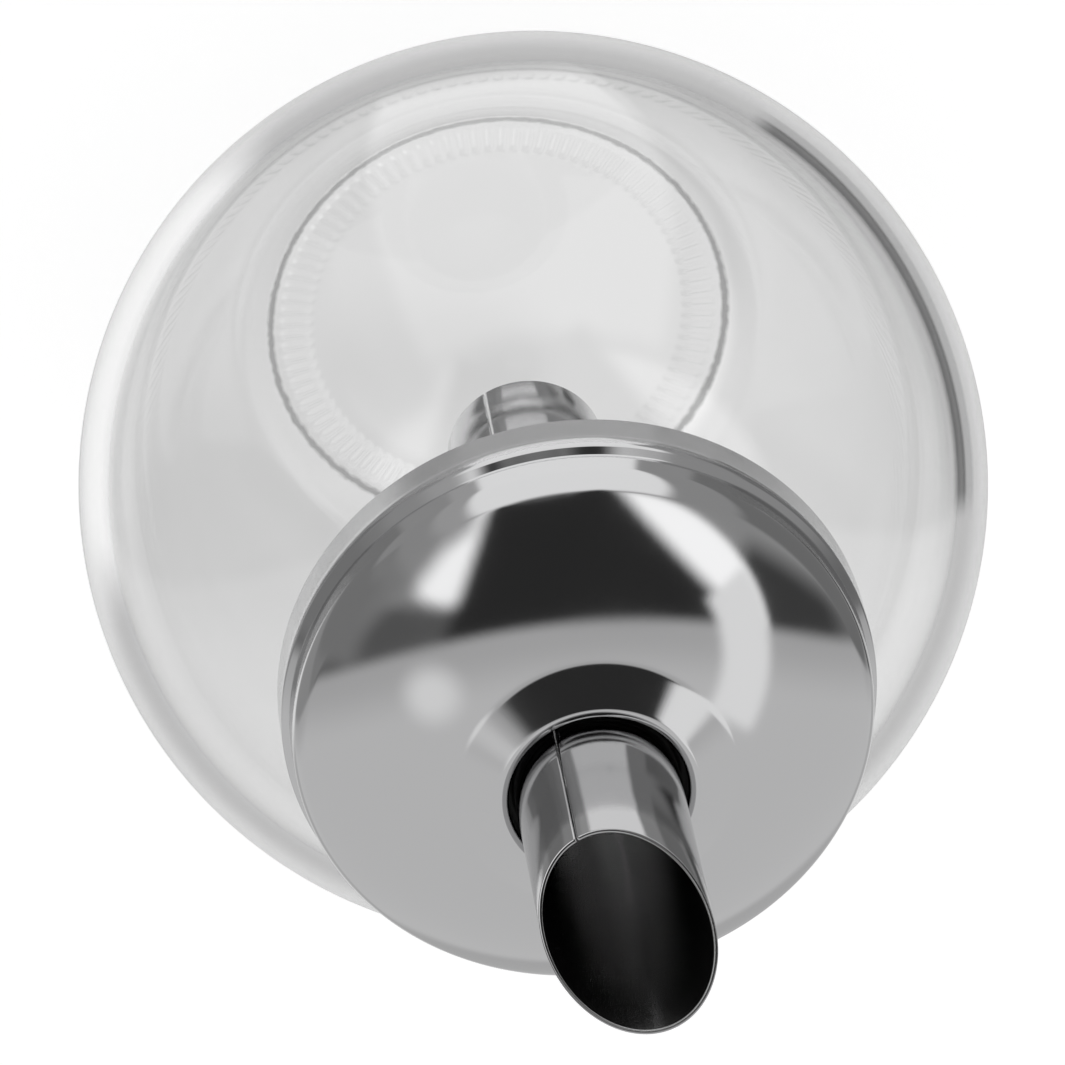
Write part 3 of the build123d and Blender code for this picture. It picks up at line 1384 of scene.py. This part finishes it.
    def floor(self) -> None:
        """Lay the pale floor, which keeps the object's shadow and doesn't show in the steel."""
        half = self.floor_size / 2
        corners = [(-half, -half, 0), (half, -half, 0), (half, half, 0), (-half, half, 0)]
        mesh = bpy.data.meshes.new("floor")
        mesh.from_pydata(corners, [], [(0, 1, 2, 3)])
        floor = bpy.data.objects.new("floor", mesh)
        bpy.context.scene.collection.objects.link(floor)
        material, nodes = new_material("pale_floor")
        matt = nodes.add("ShaderNodeBsdfDiffuse", {"Color": (*[self.floor_colour] * 3, 1.0)})
        path = nodes.add("ShaderNodeLightPath").outputs
        fill = nodes.product(path["Is Camera Ray"], self.floor_fill)
        glow = nodes.add("ShaderNodeEmission", {"Color": WHITE, "Strength": fill})
        both = nodes.add("ShaderNodeAddShader", {0: matt.outputs[0], 1: glow.outputs[0]})
        clear = nodes.add("ShaderNodeBsdfTransparent")
        solid = nodes.math("MAXIMUM", path["Is Camera Ray"], path["Is Diffuse Ray"])
        seen = nodes.add("ShaderNodeMixShader", {0: solid, 1: clear.outputs[0], 2: both.outputs[0]})
        nodes.add("ShaderNodeOutputMaterial", {"Surface": seen.outputs[0]})
        dress(floor, material)


@dataclass
class PhotoCamera:
    """The camera of the photograph, solved from the rings of the object."""

    frame_pixels: float = 1065.0
    focal_pixels: float = 8175.0
    distance: float = 828.0
    elevation: float = 59.7
    roll: float = 192.0
    azimuth: float = PHOTO_AZIMUTH
    ball_pixel: Point = (533.3, 485.6)
    ball_height: float = BALL_HEIGHT
    sensor: float = 36.0
    clip: Point = (0.05, 50.0)

    def place(self) -> Piece:
        """Create the scene's camera.

        Returns:
            The camera.
        """
        middle = self.frame_pixels / 2
        x, y = ((pixel - middle) / self.focal_pixels for pixel in self.ball_pixel)
        ray = Vector((x, -y, -1.0)).normalized()
        back = -ray
        across = Vector((0, 1, 0)).cross(back).normalized()
        upward = back.cross(across)
        r, e = radians(self.roll), radians(self.elevation)
        side = cos(r) * across + sin(r) * upward
        rise = -sin(r) * across + cos(r) * upward
        axis = cos(e) * rise + sin(e) * back
        forward = axis.cross(side)
        a = radians(90.0 - self.azimuth)
        object_y = cos(a) * side + sin(a) * forward
        turn = Matrix((object_y.cross(axis), object_y, axis))
        ball = ray * self.distance * MM
        spot = Vector((0, 0, self.ball_height * MM)) - turn @ ball
        data = bpy.data.cameras.new("photo_camera")
        data.sensor_width = self.sensor
        data.lens = self.focal_pixels / self.frame_pixels * self.sensor
        data.clip_start, data.clip_end = self.clip
        camera = bpy.data.objects.new("photo_camera", data)
        camera.matrix_world = Matrix.Translation(spot) @ turn.to_4x4()
        bpy.context.scene.collection.objects.link(camera)
        bpy.context.scene.camera = camera
        return camera


def main() -> None:
    """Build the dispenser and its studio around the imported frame."""
    logging.basicConfig(level=logging.INFO, format="%(name)s %(message)s")
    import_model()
    bpy.context.scene.view_settings.view_transform = "Standard"

    # Painted shade: the tube's steel is a darker grey than the cap's, for the darker reflections
    # the tube shows.
    tube_grey_painted_darker, bore_grey_painted_shade = (0.52, 0.52, 0.525), (0.42, 0.42, 0.42)
    glass = GlassFinish().material()
    cap_steel = SteelFinish("polished_cap_steel").material()
    tube_steel = SteelFinish("tube_steel_painted_darker", tube_grey_painted_darker, roughness=0.05, along=1.0).material()
    # Partly painted shade: the bore's rolled steel is rougher, and its darker grey stands for the
    # shade down the deep bore.
    bore_steel = SteelFinish("rolled_bore_steel_painted_shade", bore_grey_painted_shade, roughness=0.2, along=1.0).material()
    plastic = MouldedFinish("moulded_plastic", (0.05, 0.05, 0.055)).material()
    rubber = MouldedFinish("soft_rubber", (0.03, 0.03, 0.03), roughness=0.6).material()

    thread = Thread()
    cap = SteelCap()
    GlassJar().build(glass, thread)
    cap.build(cap_steel)
    PourTube().build(tube_steel, bore_steel)
    ScrewInsert().build(plastic, cap, thread)
    RubberParts().build(rubber)

    studio = Studio()
    studio.light(PhotoCamera().place())
    studio.floor()


if __name__ == "__main__":
    main()
